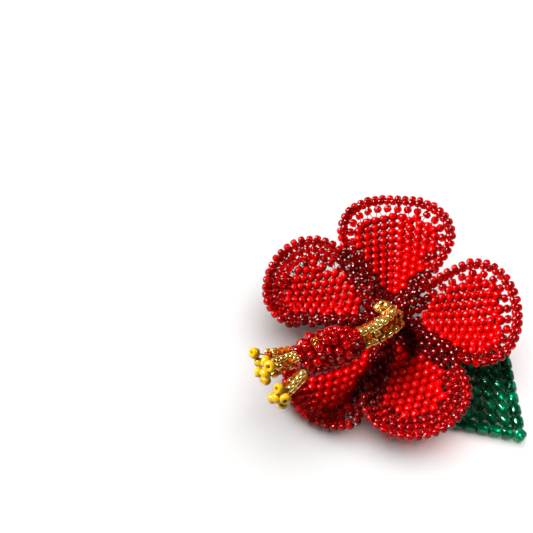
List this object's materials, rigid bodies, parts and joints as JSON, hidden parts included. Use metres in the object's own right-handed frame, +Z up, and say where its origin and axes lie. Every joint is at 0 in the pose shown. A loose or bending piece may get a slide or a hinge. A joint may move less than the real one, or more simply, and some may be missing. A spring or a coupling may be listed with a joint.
{
  "type": "beaded hibiscus flower",
  "caption": "Open hibiscus flower woven from glass seed beads, with cupped red petals, a gold and red column with yellow tips, and a green leaf beneath.",
  "frame": {"origin": "on the surface the flower lies on, under the middle of its box", "axes": "+Z up out of the open flower, +X to the right towards the leaf, +Y towards the top petal"},
  "size_m": [0.0662, 0.063, 0.0245],
  "materials": {
    "clear_red_glass": "gloss, silver-lined",
    "opaque_red_glass": "gloss",
    "gold_glass": "gloss, silver-lined",
    "yellow_glass": "gloss",
    "green_glass": "gloss, silver-lined"
  },
  "bodies": {
    "root": {"petal_top_margin": "clear_red_glass", "petal_top_field": "opaque_red_glass", "petal_left_margin": "clear_red_glass", "petal_left_field": "opaque_red_glass", "petal_lower_left_margin": "clear_red_glass", "petal_lower_left_field": "opaque_red_glass", "petal_lower_right_margin": "clear_red_glass", "petal_lower_right_field": "opaque_red_glass", "petal_right_margin": "clear_red_glass", "petal_right_field": "opaque_red_glass", "back_ring": "clear_red_glass", "column_gold": "gold_glass", "column_sleeve": "clear_red_glass", "filament_1": "gold_glass", "anther_1": "yellow_glass", "filament_2": "gold_glass", "anther_2": "yellow_glass", "filament_3": "gold_glass", "anther_3": "yellow_glass", "filament_4": "gold_glass", "anther_4": "yellow_glass", "filament_5": "gold_glass", "anther_5": "yellow_glass", "leaf": "green_glass"}
  },
  "joints": []
}
